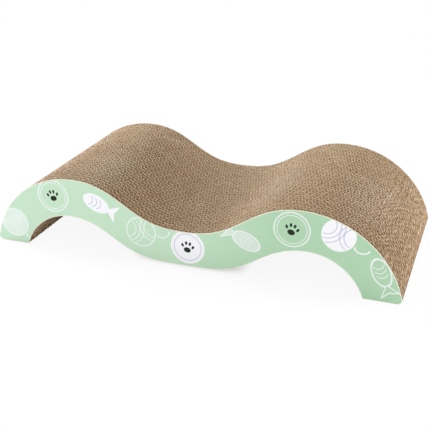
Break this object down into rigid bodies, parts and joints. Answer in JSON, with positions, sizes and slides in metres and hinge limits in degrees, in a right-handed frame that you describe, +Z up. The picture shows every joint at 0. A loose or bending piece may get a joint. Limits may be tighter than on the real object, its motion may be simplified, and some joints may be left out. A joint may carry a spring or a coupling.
{
  "type": "cardboard cat scratcher",
  "caption": "Wave-shaped cat scratcher lounger: upright corrugated cardboard strips with cut flutes on top, two humps with a saddle between, and a pale green printed panel on each side.",
  "frame": {"origin": "on the floor, under the middle of the scratcher", "axes": "+X along the wave from one foot to the other, +Y across it towards the rear panel, +Z up"},
  "size_m": [0.5, 0.2244, 0.0935],
  "materials": {
    "kraft_board": "matte",
    "printed_board": "satin"
  },
  "bodies": {
    "root": {"front_panel": "printed_board", "strip_01": "kraft_board", "strip_02": "kraft_board", "strip_03": "kraft_board", "strip_04": "kraft_board", "strip_05": "kraft_board", "strip_06": "kraft_board", "strip_07": "kraft_board", "strip_08": "kraft_board", "strip_09": "kraft_board", "strip_10": "kraft_board", "strip_11": "kraft_board", "strip_12": "kraft_board", "strip_13": "kraft_board", "strip_14": "kraft_board", "strip_15": "kraft_board", "strip_16": "kraft_board", "strip_17": "kraft_board", "strip_18": "kraft_board", "strip_19": "kraft_board", "strip_20": "kraft_board", "strip_21": "kraft_board", "strip_22": "kraft_board", "strip_23": "kraft_board", "strip_24": "kraft_board", "strip_25": "kraft_board", "strip_26": "kraft_board", "strip_27": "kraft_board", "strip_28": "kraft_board", "strip_29": "kraft_board", "strip_30": "kraft_board", "strip_31": "kraft_board", "strip_32": "kraft_board", "strip_33": "kraft_board", "strip_34": "kraft_board", "strip_35": "kraft_board", "strip_36": "kraft_board", "strip_37": "kraft_board", "strip_38": "kraft_board", "rear_panel": "printed_board"}
  },
  "joints": []
}
